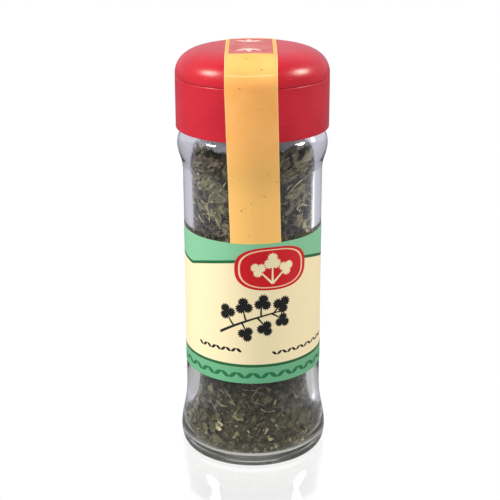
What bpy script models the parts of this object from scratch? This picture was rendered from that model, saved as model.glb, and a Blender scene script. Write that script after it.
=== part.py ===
# Glass spice jar of dried parsley with a flip-top cap, a paper label and a paper seal strip.
# Metres, +Z up. The origin is the middle of the base ring, and the front of the label faces -Y.

import math
import random

import bmesh
import bpy
from mathutils import Matrix, Vector

MM = 0.001

# Driving dimensions, in millimetres
CAP_RADIUS = 21.95         # outside of the cap, 44 mm across
CAP_RIM_Z = 99.7           # lower edge of the cap
SEAM_Z = 114.35            # hairline between the cap base and the lid
SEAM_GAP = 0.3
DOME_HEIGHT = 8.0          # from the seam to the crown
CAP_WALL = 1.4
BODY_RADIUS = 20.2         # outside of the straight glass
CAVITY_RADIUS = 17.5       # inside of the straight glass
FOOT_RADIUS = 22.3
NECK_RADIUS = 18.6
MOUTH_RADIUS = 17.0
MOUTH_Z = 111.6            # top of the glass
DECK_Z = 111.95            # underside of the sifter deck
DECK_THICKNESS = 1.3
LABEL_BOTTOM_Z = 27.3
LABEL_TOP_Z = 70.5
LABEL_END_ANGLE = 176.25   # degrees from the front to either end of the label
PAPER = 0.25               # thickness of the label and the strip
PAPER_GAP = 0.25           # from what the paper lies on
STRIP_WIDTH = 14.5
STRIP_LEAN = 1.0           # sideways drift of the front strip at the label
HINGE_OUTSET = 0.6         # hinge line outside the cap's wall, clear of the strip
SIFTER_HOLES = 5
SIFTER_HOLE_RADIUS = 3.6
SIFTER_RING_RADIUS = 9.4
CONTENTS_TOP_Z = 96.0
CONTENTS_GAP = 0.4         # from the glass
FLAKE_THICKNESS = 0.62
FLAKES = 188
STEMS = 36
TOP_FLAKES = 14
SEGMENTS = 48              # facets round every turned piece

# The dome is a superellipse of revolution: (r/R)^4.8 + (z/H)^2.25 = 1
DOME_POWER_R = 4.8
DOME_POWER_Z = 2.25


def clear_scene():
    for old in list(bpy.data.objects):
        bpy.data.objects.remove(old, do_unlink=True)


def material(name, colour, roughness, metallic=0.0, transmission=0.0):
    mat = bpy.data.materials.new(name)
    mat.use_nodes = True
    shader = mat.node_tree.nodes["Principled BSDF"]
    shader.inputs["Base Color"].default_value = (*colour, 1.0)
    shader.inputs["Roughness"].default_value = roughness
    shader.inputs["Metallic"].default_value = metallic
    shader.inputs["Transmission Weight"].default_value = transmission
    mat.diffuse_color = (*colour, 1.0)
    return mat


def add_object(name, mesh, mat, smooth_angle=35.0):
    obj = bpy.data.objects.new(name, mesh)
    bpy.context.scene.collection.objects.link(obj)
    mesh.materials.append(mat)
    mesh.shade_smooth()
    mesh.set_sharp_from_angle(angle=math.radians(smooth_angle))
    return obj


def turned_mesh(name, outline, segments=SEGMENTS):
    """A closed outline of (radius, height) points in mm, turned once round Z."""
    shape = bmesh.new()
    rings = []
    for radius, height in outline:
        if radius < 1e-6:
            rings.append([shape.verts.new((0.0, 0.0, height * MM))])
            continue
        ring = []
        for step in range(segments):
            angle = 2.0 * math.pi * step / segments
            x = radius * math.cos(angle) * MM
            y = radius * math.sin(angle) * MM
            ring.append(shape.verts.new((x, y, height * MM)))
        rings.append(ring)
    for lower, upper in zip(rings, rings[1:] + rings[:1]):
        if len(lower) == len(upper) == 1:
            continue
        for step in range(segments):
            after = (step + 1) % segments
            if len(lower) == 1:
                shape.faces.new((lower[0], upper[after], upper[step]))
            elif len(upper) == 1:
                shape.faces.new((lower[step], lower[after], upper[0]))
            else:
                shape.faces.new((lower[step], lower[after], upper[after], upper[step]))
    bmesh.ops.recalc_face_normals(shape, faces=shape.faces)
    mesh = bpy.data.meshes.new(name)
    shape.to_mesh(mesh)
    shape.free()
    return mesh


def sheet_mesh(name, outer_rows, inner_rows):
    """A thin closed solid between two grids of points in mm, row by row alike."""
    shape = bmesh.new()
    outer = [[shape.verts.new(Vector(p) * MM) for p in row] for row in outer_rows]
    inner = [[shape.verts.new(Vector(p) * MM) for p in row] for row in inner_rows]
    rows = len(outer)
    columns = len(outer[0])
    for i in range(rows - 1):
        for j in range(columns - 1):
            shape.faces.new((outer[i][j], outer[i][j + 1], outer[i + 1][j + 1], outer[i + 1][j]))
            shape.faces.new((inner[i][j], inner[i + 1][j], inner[i + 1][j + 1], inner[i][j + 1]))
        for j in (0, columns - 1):
            shape.faces.new((outer[i][j], outer[i + 1][j], inner[i + 1][j], inner[i][j]))
    for i in (0, rows - 1):
        for j in range(columns - 1):
            shape.faces.new((outer[i][j], inner[i][j], inner[i][j + 1], outer[i][j + 1]))
    bmesh.ops.recalc_face_normals(shape, faces=shape.faces)
    mesh = bpy.data.meshes.new(name)
    shape.to_mesh(mesh)
    shape.free()
    return mesh


def dome_height(radius, outset=0.0):
    """Height of the dome above the seam at a radius, the whole surface moved out by outset."""
    share = min(radius / (CAP_RADIUS + outset), 1.0)
    return (DOME_HEIGHT + outset) * (1.0 - share ** DOME_POWER_R) ** (1.0 / DOME_POWER_Z)


def dome_point(angle, outset=0.0):
    """Radius and height on the dome, from the rim at 0 to the crown at 90 degrees."""
    cosine = max(math.cos(math.radians(angle)), 0.0)
    radius = (CAP_RADIUS + outset) * cosine ** (2.0 / DOME_POWER_R)
    height = (DOME_HEIGHT + outset) * math.sin(math.radians(angle)) ** (2.0 / DOME_POWER_Z)
    return radius, height


# Glass jar: a thick flared foot, a straight body, a rounded bead below the cap, and the hidden
# neck with its snap bead.

FOOT_OUTSIDE = [(20.1, 0.0), (21.3, 0.5), (22.0, 1.7), (FOOT_RADIUS, 4.2), (22.1, 6.6),
                (21.6, 9.6), (21.0, 12.4), (20.5, 15.6), (BODY_RADIUS, 20.0)]
BEAD = [(BODY_RADIUS, 87.4), (20.5, 90.0), (21.25, 92.3), (21.7, 94.6), (21.4, 96.8),
        (20.4, 98.7), (19.2, 100.1), (NECK_RADIUS, 101.4)]
SNAP_BEAD = [(NECK_RADIUS, 103.9), (19.6, 104.6), (19.6, 105.4), (NECK_RADIUS, 106.3)]
MOUTH_LIP = [(NECK_RADIUS, MOUTH_Z - 0.5), (18.1, MOUTH_Z), (17.5, MOUTH_Z),
             (MOUTH_RADIUS, MOUTH_Z - 0.5)]
CAVITY = [(MOUTH_RADIUS, 101.0), (CAVITY_RADIUS, 95.0), (CAVITY_RADIUS, 21.0), (18.3, 16.8),
          (19.4, 13.6), (20.1, 10.6), (20.2, 7.6), (19.6, 4.8), (17.8, 3.3), (13.0, 2.75),
          (0.0, 2.9)]
PUNT = [(0.0, 1.0), (13.5, 0.75), (18.2, 0.0)]


def make_jar(mat):
    outline = PUNT + FOOT_OUTSIDE + BEAD + SNAP_BEAD + MOUTH_LIP + CAVITY
    return add_object("jar", turned_mesh("jar", outline), mat)


def cavity_limit(height):
    """Radius of the glass cavity at a height, in mm, by straight lines between its points."""
    points = sorted(((z, r) for r, z in CAVITY if r > 0.0), key=lambda point: point[0])
    if height <= points[0][0]:
        return points[0][1]
    for (z0, r0), (z1, r1) in zip(points, points[1:]):
        if height <= z1:
            share = (height - z0) / (z1 - z0) if z1 > z0 else 0.0
            return r0 + share * (r1 - r0)
    return points[-1][1]


# Cap base: the skirt snaps over the neck bead. Its deck has the sifter holes, a plug ring under
# it and a low collar over it, which the lid closes on.

SNAP_RING_INSIDE = 19.2
PLUG_OUTSIDE = 16.6
PLUG_INSIDE = 15.6
PLUG_BOTTOM_Z = 109.4
COLLAR_OUTSIDE = 20.0
COLLAR_INSIDE = 19.0
COLLAR_TOP_Z = 115.9


def make_cap_base(mat):
    inside = CAP_RADIUS - CAP_WALL
    rim_top = SEAM_Z - SEAM_GAP / 2.0
    deck_top = DECK_Z + DECK_THICKNESS
    outline = [
        (0.0, deck_top), (0.0, DECK_Z), (PLUG_INSIDE, DECK_Z), (PLUG_INSIDE, PLUG_BOTTOM_Z),
        (PLUG_OUTSIDE, PLUG_BOTTOM_Z), (PLUG_OUTSIDE, DECK_Z), (inside, DECK_Z),
        (inside, 103.3), (SNAP_RING_INSIDE, 102.8), (SNAP_RING_INSIDE, 102.0),
        (inside, 101.3), (inside, CAP_RIM_Z), (CAP_RADIUS - 0.35, CAP_RIM_Z),
        (CAP_RADIUS, CAP_RIM_Z + 0.4), (CAP_RADIUS, rim_top - 0.3), (CAP_RADIUS - 0.3, rim_top),
        (COLLAR_OUTSIDE, rim_top), (COLLAR_OUTSIDE, COLLAR_TOP_Z), (COLLAR_INSIDE, COLLAR_TOP_Z),
        (COLLAR_INSIDE, deck_top)]
    base = add_object("cap_base", turned_mesh("cap_base", outline), mat)
    holes = [(0.0, 0.0)]
    for step in range(SIFTER_HOLES - 1):
        angle = math.radians(45.0 + 90.0 * step)
        holes.append((SIFTER_RING_RADIUS * math.cos(angle), SIFTER_RING_RADIUS * math.sin(angle)))
    for index, (x, y) in enumerate(holes):
        shape = bmesh.new()
        place = Matrix.Translation((x * MM, y * MM, (DECK_Z + DECK_THICKNESS / 2.0) * MM))
        bmesh.ops.create_cone(
            shape, cap_ends=True, segments=16, radius1=SIFTER_HOLE_RADIUS * MM,
            radius2=SIFTER_HOLE_RADIUS * MM, depth=(DECK_THICKNESS + 2.0) * MM, matrix=place)
        mesh = bpy.data.meshes.new("sifter_drill")
        shape.to_mesh(mesh)
        shape.free()
        drill = bpy.data.objects.new("sifter_drill_%d" % index, mesh)
        bpy.context.scene.collection.objects.link(drill)
        drill.hide_render = True
        drill.display_type = "WIRE"
        cut = base.modifiers.new("sifter hole %d" % index, "BOOLEAN")
        cut.operation = "DIFFERENCE"
        cut.solver = "EXACT"
        cut.object = drill
    return base


# Flip lid: the dome shell above the seam. Its origin is on the hinge line at the back.

LID_INSIDE_RADIUS = 20.55
LID_ROOF = 1.3


def make_flip_lid(mat, hinge):
    bottom = SEAM_Z + SEAM_GAP / 2.0
    steps = (10, 22, 34, 46, 58, 70, 80)
    outside = []
    inside = []
    for angle in steps:
        radius, height = dome_point(angle)
        outside.append((radius, SEAM_Z + height))
        share = radius / CAP_RADIUS
        inside.append((LID_INSIDE_RADIUS * share, SEAM_Z + height * (1.0 - LID_ROOF / DOME_HEIGHT)))
    outline = [(LID_INSIDE_RADIUS, bottom), (CAP_RADIUS - 0.25, bottom),
               (CAP_RADIUS - 0.02, bottom + 0.3)] + outside
    outline += [(0.0, SEAM_Z + DOME_HEIGHT), (0.0, SEAM_Z + DOME_HEIGHT - LID_ROOF)]
    outline += inside[::-1]
    mesh = turned_mesh("flip_lid", [(r, z - SEAM_Z) for r, z in outline])
    lid = add_object("flip_lid", mesh, mat)
    mesh.transform(Matrix.Translation((0.0, -hinge.location.y, 0.0)))
    lid.parent = hinge
    return lid


# Label: one sheet wrapped round the body, whose ends stop just short of each other at the back

def make_label(mat):
    step = 360.0 / SEGMENTS
    turns = int(LABEL_END_ANGLE // step)
    angles = [-LABEL_END_ANGLE] + [step * k for k in range(-turns, turns + 1)] + [LABEL_END_ANGLE]
    heights = (LABEL_BOTTOM_Z, LABEL_TOP_Z)

    def rows(radius):
        grid = []
        for z in heights:
            row = []
            for angle in angles:
                turn = math.radians(angle - 90.0)
                row.append((radius * math.cos(turn), radius * math.sin(turn), z))
            grid.append(row)
        return grid

    inside = BODY_RADIUS + PAPER_GAP
    mesh = sheet_mesh("label", rows(inside + PAPER), rows(inside))
    return add_object("label", mesh, mat)


# Seal strip: one sheet in the real thing, from the label over the cap to the back. It crosses
# the seam twice, so it is three solids, cut at the seam.

STRIP_COLUMNS = 7


def strip_x(column):
    return STRIP_WIDTH * (column / (STRIP_COLUMNS - 1) - 0.5)


def side_strip_rows(offset, side, lean):
    """Rows down one side (-1 front, 1 back): the cap's skirt, the bead, then the body."""
    path = [(CAP_RADIUS, SEAM_Z - SEAM_GAP / 2.0), (CAP_RADIUS, 107.0), (CAP_RADIUS, CAP_RIM_Z),
            (21.75, 94.8), (21.1, 90.9), (20.45, 87.2), (BODY_RADIUS, 83.0),
            (BODY_RADIUS, 77.0), (BODY_RADIUS, LABEL_TOP_Z + 0.3)]
    top = path[0][1]
    bottom = path[-1][1]
    grid = []
    for radius, z in path:
        shift = lean * (top - z) / (top - bottom)
        row = []
        for column in range(STRIP_COLUMNS):
            x = strip_x(column) + shift
            row.append((x, side * math.sqrt((radius + offset) ** 2 - x * x), z))
        grid.append(row)
    return grid


def lid_strip_rows(offset):
    """Rows over the dome, from the seam at the front to the seam at the back."""
    rise = []
    bottom = SEAM_Z + SEAM_GAP / 2.0
    rise.append((CAP_RADIUS + offset, bottom))
    for angle in (10, 20, 29, 38, 47, 56, 65):
        radius, height = dome_point(angle, offset)
        rise.append((radius, SEAM_Z + height))
    front = []
    for radius, z in rise:
        row = []
        for column in range(STRIP_COLUMNS):
            x = strip_x(column)
            row.append((x, -math.sqrt(radius * radius - x * x), z))
        front.append(row)
    crown = []
    crown_steps = 6
    for step in range(1, crown_steps):
        share = 1.0 - 2.0 * step / crown_steps
        row = []
        for x, y, _ in front[-1]:
            across = y * share
            z = SEAM_Z + dome_height(math.hypot(x, across), offset)
            row.append((x, across, z))
        crown.append(row)
    back = [[(x, -y, z) for x, y, z in row] for row in reversed(front)]
    return front + crown + back


def make_seal_strip(mat, hinge):
    made = []
    for name, side, lean in (("seal_strip_front", -1, STRIP_LEAN), ("seal_strip_back", 1, 0.0)):
        outer = side_strip_rows(PAPER_GAP + PAPER, side, lean)
        inner = side_strip_rows(PAPER_GAP, side, lean)
        made.append(add_object(name, sheet_mesh(name, outer, inner), mat))
    outer = lid_strip_rows(PAPER_GAP + PAPER)
    inner = lid_strip_rows(PAPER_GAP)
    mesh = sheet_mesh("seal_strip_lid", outer, inner)
    mesh.transform(Matrix.Translation(-hinge.location))
    top = add_object("seal_strip_lid", mesh, mat)
    top.parent = hinge
    made.append(top)
    return made


# Dried parsley: a lumpy core with leaf flakes and stems standing out of it, which fills the
# cavity and ends in a ragged top under the cap.

CORE_INSET = 2.0           # from the glass to the core
CORE_SEGMENTS = 20
CORE_ROWS = 12
CORE_BOTTOM_Z = 3.5


def core_radius(height):
    return cavity_limit(height) - CONTENTS_GAP - CORE_INSET


def make_core(dice):
    rings = []
    for row in range(CORE_ROWS):
        share = row / (CORE_ROWS - 1)
        height = CORE_BOTTOM_Z + 1.2 + share * (CONTENTS_TOP_Z - 4.0 - CORE_BOTTOM_Z)
        rings.append((core_radius(height), height))
    outline = [(0.0, CORE_BOTTOM_Z), (rings[0][0] - 2.4, CORE_BOTTOM_Z)] + rings
    outline += [(rings[-1][0] * 0.6, CONTENTS_TOP_Z - 1.8), (0.0, CONTENTS_TOP_Z - 1.2)]
    mesh = turned_mesh("parsley_core", outline, CORE_SEGMENTS)
    for vertex in mesh.vertices:
        if vertex.co.z > (CORE_BOTTOM_Z + 1.0) * MM:
            factor = 1.0 + dice.uniform(-0.035, 0.03)
            vertex.co.x *= factor
            vertex.co.y *= factor
            vertex.co.z += dice.uniform(-0.6, 0.6) * MM
    return mesh


def leaf_outline(dice, length, width):
    """A torn, lobed leaf piece: points round a flattened circle with notches between lobes."""
    points = []
    lobes = dice.choice((4, 5, 5, 6))
    for step in range(lobes):
        angle = 2.0 * math.pi * (step + dice.uniform(-0.2, 0.2)) / lobes
        reach = dice.uniform(0.72, 1.12) if step % 2 else dice.uniform(0.5, 0.85)
        points.append((length * 0.5 * reach * math.cos(angle), width * 0.5 * reach * math.sin(angle)))
    return points


def keep_inside(point):
    """Pull a point in mm back within the cavity."""
    limit = cavity_limit(point.z) - CONTENTS_GAP
    radius = math.hypot(point.x, point.y)
    if radius > limit:
        point.x *= limit / radius
        point.y *= limit / radius
    point.z = min(max(point.z, CORE_BOTTOM_Z), CONTENTS_TOP_Z + 2.0)
    return point


def prism_mesh(name, corners, thickness, frame):
    """A flat polygon of local (x, y) corners with a thickness, placed by a frame, in mm."""
    shape = bmesh.new()
    sides = []
    for level in (-thickness / 2.0, thickness / 2.0):
        ring = []
        for x, y in corners:
            point = frame @ Vector((x, y, level))
            ring.append(shape.verts.new(point * MM))
        sides.append(ring)
    count = len(corners)
    low, high = sides
    shape.faces.new(low[::-1])
    shape.faces.new(high)
    for step in range(count):
        after = (step + 1) % count
        shape.faces.new((low[step], low[after], high[after], high[step]))
    bmesh.ops.triangulate(shape, faces=shape.faces)
    bmesh.ops.recalc_face_normals(shape, faces=shape.faces)
    mesh = bpy.data.meshes.new(name)
    shape.to_mesh(mesh)
    shape.free()
    return mesh


def wall_frame(dice, turn, height, outset, spin, tilt):
    """A frame on the core's side: its third axis leaves the wall, tilted about its first."""
    radius = core_radius(height) + outset
    place = Matrix.Translation((radius * math.cos(turn), radius * math.sin(turn), height))
    outward = Matrix.Rotation(turn, 4, "Z") @ Matrix.Rotation(math.pi / 2.0, 4, "Y")
    lean = Matrix.Rotation(spin, 4, "Z") @ Matrix.Rotation(tilt, 4, "X")
    return place @ outward @ lean


def fits(mesh):
    """True where every corner of a piece is within the cavity."""
    for vertex in mesh.vertices:
        point = Vector(vertex.co) / MM
        kept = keep_inside(point.copy())
        if (kept - point).length > 1e-6:
            return False
    return True


def scatter_pieces(dice, group):
    """Leaf flakes round the side and over the top, then stems."""
    golden = math.pi * (3.0 - math.sqrt(5.0))
    low = CORE_BOTTOM_Z + 2.0
    for index in range(FLAKES):
        share = (index + 0.5) / FLAKES
        height = low + share * (CONTENTS_TOP_Z - 5.0 - low)
        size = 6.2 + 2.4 * share
        for attempt in range(12):
            turn = index * golden + dice.uniform(-0.12, 0.12)
            shrink = 0.9 ** attempt
            length = size * dice.uniform(0.8, 1.25) * shrink
            width = size * dice.uniform(0.5, 0.85) * shrink
            tilt = math.radians(dice.choice((-1, 1)) * dice.uniform(14.0, 30.0))
            frame = wall_frame(dice, turn, height, 0.15, dice.uniform(0.0, math.pi), tilt)
            outline = leaf_outline(dice, length, width)
            mesh = prism_mesh("flake", outline, FLAKE_THICKNESS, frame)
            if fits(mesh):
                group.objects.link(bpy.data.objects.new("flake_%03d" % index, mesh))
                break
    for index in range(STEMS):
        for attempt in range(12):
            turn = dice.uniform(0.0, 2.0 * math.pi)
            height = dice.uniform(low + 4.0, CONTENTS_TOP_Z - 6.0)
            half = dice.uniform(3.0, 5.5) * 0.92 ** attempt
            spin = dice.uniform(0.0, math.pi)
            tilt = math.radians(dice.uniform(-6.0, 6.0))
            frame = wall_frame(dice, turn, height, 0.3, spin, tilt)
            corners = ((-half, -0.4), (half, -0.4), (half, 0.4), (-half, 0.4))
            mesh = prism_mesh("stem", corners, 0.8, frame)
            if fits(mesh):
                group.objects.link(bpy.data.objects.new("stem_%03d" % index, mesh))
                break
    for index in range(TOP_FLAKES):
        turn = index * golden
        reach = 14.0 * math.sqrt((index + 0.5) / TOP_FLAKES)
        place = Matrix.Translation((reach * math.cos(turn), reach * math.sin(turn),
                                    CONTENTS_TOP_Z - 2.2))
        pose = Matrix.Rotation(dice.uniform(0.0, math.pi), 4, "Z")
        pose = pose @ Matrix.Rotation(math.radians(dice.uniform(25.0, 60.0)), 4, "X")
        outline = leaf_outline(dice, 7.0, 5.2)
        mesh = prism_mesh("flake", outline, FLAKE_THICKNESS, place @ pose)
        if fits(mesh):
            group.objects.link(bpy.data.objects.new("top_flake_%02d" % index, mesh))


def keep_largest_body(mesh):
    """Drop loose scraps and the shells of sealed hollows: only the largest body stays."""
    shape = bmesh.new()
    shape.from_mesh(mesh)
    unseen = set(shape.verts)
    bodies = []
    while unseen:
        stack = [unseen.pop()]
        body = set(stack)
        while stack:
            vertex = stack.pop()
            for edge in vertex.link_edges:
                other = edge.other_vert(vertex)
                if other in unseen:
                    unseen.discard(other)
                    body.add(other)
                    stack.append(other)
        bodies.append(body)
    bodies.sort(key=len, reverse=True)
    extra = [vertex for body in bodies[1:] for vertex in body]
    bmesh.ops.delete(shape, geom=extra, context="VERTS")
    bmesh.ops.triangulate(shape, faces=shape.faces)
    shape.to_mesh(mesh)
    shape.free()


def make_dried_parsley(mat):
    dice = random.Random(7)
    core = add_object("dried_parsley", make_core(dice), mat, 25.0)
    group = bpy.data.collections.new("parsley pieces")
    bpy.context.scene.collection.children.link(group)
    scatter_pieces(dice, group)
    union = core.modifiers.new("pieces", "BOOLEAN")
    union.operation = "UNION"
    union.solver = "MANIFOLD"
    union.operand_type = "COLLECTION"
    union.collection = group
    graph = bpy.context.evaluated_depsgraph_get()
    fused = bpy.data.meshes.new_from_object(core.evaluated_get(graph), depsgraph=graph)
    core.modifiers.remove(union)
    core.data = fused
    fused.name = "dried_parsley"
    for piece in list(group.objects):
        bpy.data.objects.remove(piece, do_unlink=True)
    bpy.data.collections.remove(group)
    keep_largest_body(fused)
    return core


def main():
    clear_scene()
    glass = material("clear glass", (0.86, 0.88, 0.92), 0.05, transmission=0.9)
    red = material("red plastic", (0.66, 0.03, 0.05), 0.38)
    paper = material("label paper", (0.45, 0.80, 0.60), 0.6)
    strip = material("strip paper", (0.93, 0.56, 0.20), 0.6)
    herb = material("dried leaf", (0.16, 0.15, 0.08), 0.85)
    hinge = bpy.data.objects.new("lid_hinge_axis", None)
    bpy.context.scene.collection.objects.link(hinge)
    hinge.location = (0.0, (CAP_RADIUS + HINGE_OUTSET) * MM, SEAM_Z * MM)
    make_jar(glass)
    make_cap_base(red)
    make_flip_lid(red, hinge)
    make_label(paper)
    make_seal_strip(strip, hinge)
    make_dried_parsley(herb)


main()
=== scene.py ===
# %% [markdown]
# # A glass spice jar of dried parsley
#
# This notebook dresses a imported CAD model. The CAD holds every real size and the lid's hinge, and
# the cells below add what the eye sees: refracting glass, thousands of leaf flakes, moulded
# plastic and printed paper. Heights and radii are in millimetres until a mesh is made.

# %% Load the frame
import math
import random

import bpy
from mathutils import Matrix, Vector


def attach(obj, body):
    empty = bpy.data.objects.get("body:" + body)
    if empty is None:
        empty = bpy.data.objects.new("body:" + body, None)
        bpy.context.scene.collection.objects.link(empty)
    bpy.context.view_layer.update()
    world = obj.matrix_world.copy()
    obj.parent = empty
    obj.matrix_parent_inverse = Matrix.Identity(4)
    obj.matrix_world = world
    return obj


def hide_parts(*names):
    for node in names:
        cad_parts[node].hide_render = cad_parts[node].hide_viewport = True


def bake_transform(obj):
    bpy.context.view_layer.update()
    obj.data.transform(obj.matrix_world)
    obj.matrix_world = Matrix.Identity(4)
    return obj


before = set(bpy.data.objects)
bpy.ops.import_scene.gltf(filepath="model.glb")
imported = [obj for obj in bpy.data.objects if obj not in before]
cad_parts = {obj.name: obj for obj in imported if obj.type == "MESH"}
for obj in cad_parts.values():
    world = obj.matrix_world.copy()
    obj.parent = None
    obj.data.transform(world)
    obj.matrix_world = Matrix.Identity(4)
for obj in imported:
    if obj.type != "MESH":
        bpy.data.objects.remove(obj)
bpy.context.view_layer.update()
MM = 0.001

# %% [markdown]
# ## Places that the pieces share
#
# These repeat the CAD's own numbers, so that a new piece lies where its solid is: the cap, the
# seam between its two halves, the dome's curve, the straight glass and the room inside it, the
# label's edges and half the strip's width.

# %% Shared places
CAP_RADIUS = 21.92
CAP_RIM_Z = 99.7
SEAM_Z = 114.35
DOME_HEIGHT = 8.0
DOME_SQUARENESS = 4.8
DOME_FULLNESS = 2.25
GLASS_RADIUS = 20.2
CAVITY_RADIUS = 17.5
LABEL_BOTTOM_Z = 27.3
LABEL_TOP_Z = 70.5
STRIP_HALF = 7.12
print("cap", 2.0 * CAP_RADIUS, "mm across, glass", 2.0 * GLASS_RADIUS, "mm across")

# %% [markdown]
# ## Shader arithmetic
#
# A print or a stain is easier to read as a formula than as a web of Math nodes. A `Wire` holds
# one socket, and Python's operators on it add the Math nodes. A `Finish` is one material, and its
# `node` method makes any other node: settings first, then the values or wires of its sockets.


# %% A wire that does arithmetic
class Wire:
    """One socket of a node, with arithmetic."""

    def __init__(self, finish, socket):
        self.finish = finish
        self.socket = socket

    def math(self, operation, *others):
        return self.finish.node("ShaderNodeMath", {"operation": operation}, self, *others)

    def __add__(self, other):
        return self.math("ADD", other)

    def __sub__(self, other):
        return self.math("SUBTRACT", other)

    def __mul__(self, other):
        return self.math("MULTIPLY", other)

    def __truediv__(self, other):
        return self.math("DIVIDE", other)

    def __rsub__(self, other):
        return self.finish.value(other).math("SUBTRACT", self)

    def __neg__(self):
        return self * -1.0

    __radd__ = __add__
    __rmul__ = __mul__

    def over(self, limit):
        return self.math("GREATER_THAN", limit)

    def under(self, limit):
        return self.math("LESS_THAN", limit)

    def ramp(self, start, end):
        """0 below start, 1 above end, smooth between."""
        return self.finish.node(
            "ShaderNodeMapRange", {"interpolation_type": "SMOOTHSTEP"}, self, start, end, 0.0, 1.0)


# %% A finish and its nodes
class Finish:
    """One material, and the calls that add its nodes."""

    def __init__(self, name):
        self.material = bpy.data.materials.new(name)
        self.material.use_nodes = True
        self.tree = self.material.node_tree
        self.shader = self.tree.nodes["Principled BSDF"]
        self.output = self.tree.nodes["Material Output"]

    def node(self, kind, settings, *inputs, out=0):
        made = self.tree.nodes.new(kind)
        for key, setting in settings.items():
            setattr(made, key, setting)
        for socket, value in zip(made.inputs, inputs):
            self.feed(socket, value)
        return Wire(self, made.outputs[out])

    def feed(self, socket, value):
        if isinstance(value, Wire):
            self.tree.links.new(value.socket, socket)
        elif value is not None:
            socket.default_value = value

    def value(self, number):
        return self.node("ShaderNodeMath", {"operation": "ADD"}, number, 0.0)

    def set(self, **inputs):
        """Constants and wires for the Principled shader, by its sockets' names."""
        for name, value in inputs.items():
            self.feed(self.shader.inputs[name.replace("_", " ")], value)

    def place(self):
        """The piece's own coordinates, as three wires in millimetres."""
        where = self.node("ShaderNodeTexCoord", {}, out=3)
        split = self.tree.nodes.new("ShaderNodeSeparateXYZ")
        self.tree.links.new(where.socket, split.inputs[0])
        return [Wire(self, output) * 1000.0 for output in split.outputs]

    def noise(self, scale, detail=2.0, roughness=0.5, stretch=(1.0, 1.0, 1.0)):
        """Noise in the piece's own coordinates; scale is in features per metre."""
        where = self.node("ShaderNodeTexCoord", {}, out=3)
        mapped = self.node("ShaderNodeMapping", {}, where, None, None, stretch)
        made = self.tree.nodes.new("ShaderNodeTexNoise")
        self.feed(made.inputs["Vector"], mapped)
        self.feed(made.inputs["Scale"], scale)
        self.feed(made.inputs["Detail"], detail)
        self.feed(made.inputs["Roughness"], roughness)
        return Wire(self, made.outputs[0])

    def blend(self, mask, below, above):
        """Colour below where the mask is 0, above where it is 1."""
        made = self.tree.nodes.new("ShaderNodeMix")
        made.data_type = "RGBA"
        self.feed(made.inputs[0], mask)
        for socket, value in ((made.inputs[6], below), (made.inputs[7], above)):
            self.feed(socket, value if isinstance(value, Wire) else (*value, 1.0))
        return Wire(self, made.outputs[2])

    def colours(self, factor, stops):
        """A colour ramp; stops are (place, colour) pairs."""
        made = self.tree.nodes.new("ShaderNodeValToRGB")
        ramp = made.color_ramp
        while len(ramp.elements) < len(stops):
            ramp.elements.new(0.5)
        for element, (where, colour) in zip(ramp.elements, stops):
            element.position = where
            element.color = (*colour, 1.0)
        self.feed(made.inputs[0], factor)
        return Wire(self, made.outputs[0])

    def bump(self, height, strength, distance):
        made = self.tree.nodes.new("ShaderNodeBump")
        self.feed(made.inputs["Strength"], strength)
        self.feed(made.inputs["Distance"], distance)
        self.feed(made.inputs["Height"], height)
        return Wire(self, made.outputs[0])


# %% [markdown]
# ## Modelling helpers
#
# Nearly everything here is turned on a lathe, as the real glass and cap are formed. A circle
# primitive is dragged into the outline of the wall, and Spin carries it once round the axis.
# Merging the doubles afterwards closes the ring and the poles.


# %% Helpers for meshes
def pick_only(piece):
    bpy.ops.object.select_all(action="DESELECT")
    piece.select_set(True)
    bpy.context.view_layer.objects.active = piece


def curved(points, steps=4):
    """A smooth line through (radius, height) points, as a Catmull-Rom spline."""
    line = []
    last = len(points) - 1
    for i in range(last):
        p0, p1, p2, p3 = (Vector(points[min(max(k, 0), last)]) for k in range(i - 1, i + 3))
        for step in range(steps):
            t = step / steps
            point = 0.5 * (2.0 * p1 + (p2 - p0) * t + (2.0 * p0 - 5.0 * p1 + 4.0 * p2 - p3) * t * t
                           + (3.0 * p1 - p0 - 3.0 * p2 + p3) * t ** 3)
            line.append((max(point.x, 0.0), point.y))
    line.append(tuple(points[-1]))
    return line


def turned(name, outline, steps=128, sharp=38.0):
    """Spin a closed outline of (radius, height) points round the jar's axis."""
    bpy.ops.object.select_all(action="DESELECT")
    bpy.ops.mesh.primitive_circle_add(vertices=len(outline), radius=MM)
    piece = bpy.context.object
    piece.name = name
    for vertex, (radius, height) in zip(piece.data.vertices, outline):
        vertex.co = (radius * MM, 0.0, height * MM)
    bpy.ops.object.mode_set(mode="EDIT")
    bpy.ops.mesh.select_all(action="SELECT")
    bpy.ops.mesh.spin(steps=steps, angle=2.0 * math.pi, center=(0.0, 0.0, 0.0),
                      axis=(0.0, 0.0, 1.0))
    bpy.ops.mesh.select_all(action="SELECT")
    bpy.ops.mesh.remove_doubles(threshold=2e-6)
    bpy.ops.mesh.delete_loose(use_verts=True, use_edges=True, use_faces=False)
    bpy.ops.mesh.select_all(action="SELECT")
    bpy.ops.mesh.normals_make_consistent(inside=False)
    bpy.ops.object.mode_set(mode="OBJECT")
    bpy.ops.object.shade_smooth_by_angle(angle=math.radians(sharp))
    return piece


def wear(piece, finish, body, slot, *nodes):
    """Give a finished piece its material and its body, and hide the CAD nodes that it stands for."""
    piece.data.materials.clear()
    piece.data.materials.append(finish.material)
    if body:
        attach(piece, body)
    if nodes:
        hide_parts(*nodes)
    return piece


# %% [markdown]
# ## The glass
#
# The jar is one thick piece of pressed glass. Both walls matter: light bends at the outside,
# crosses the wall, and at a shallow angle the inside throws it back, so the sides look clear and
# empty and the herb seems to stand in a narrower column. Only a solid with a true inner wall does
# that. The foot flares, the shoulder has a rounded bead, and the neck is hidden in the cap. The
# base is pushed up in the middle, which is called a punt, and carries fine rings of knurling.

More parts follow.
